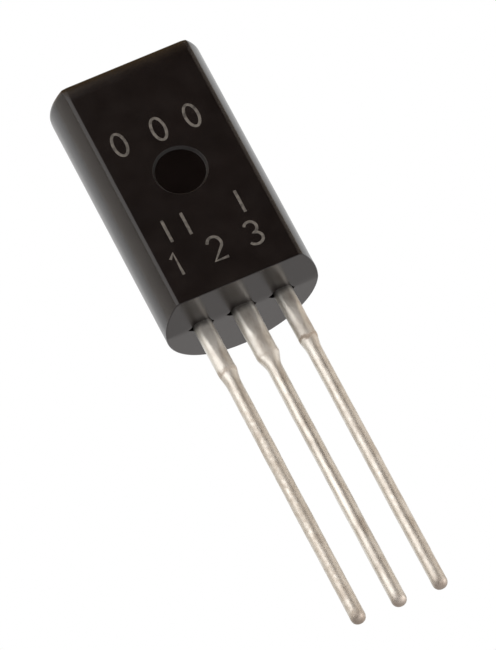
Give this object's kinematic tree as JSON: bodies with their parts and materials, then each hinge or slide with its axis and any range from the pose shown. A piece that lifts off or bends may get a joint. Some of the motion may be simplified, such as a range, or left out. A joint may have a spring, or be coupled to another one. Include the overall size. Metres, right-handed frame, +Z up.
{
  "type": "to-92 transistor",
  "caption": "Transistor in a long D-section moulded body with a flat front, stamped tinned leads in a row, and the chip, island and bond wires inside.",
  "frame": {"origin": "in the middle of the collector lead, on the board's surface, where the lead's wide root ends and its slim leg begins", "axes": "+Z up along the body, away from the board; -Y out of the flat front; +X to the right across the leads, with the front facing the viewer"},
  "size_m": [0.0048, 0.0038, 0.019],
  "materials": {
    "black_epoxy": "satin",
    "tinned_metal": "satin",
    "solder": "satin",
    "silicon": "polished",
    "bond_wire": "polished"
  },
  "bodies": {
    "root": {"moulded_body": "black_epoxy", "emitter_lead": "tinned_metal", "collector_lead": "tinned_metal", "base_lead": "tinned_metal", "chip_solder": "solder", "silicon_chip": "silicon", "emitter_bond_wire": "bond_wire", "base_bond_wire": "bond_wire"}
  },
  "joints": []
}
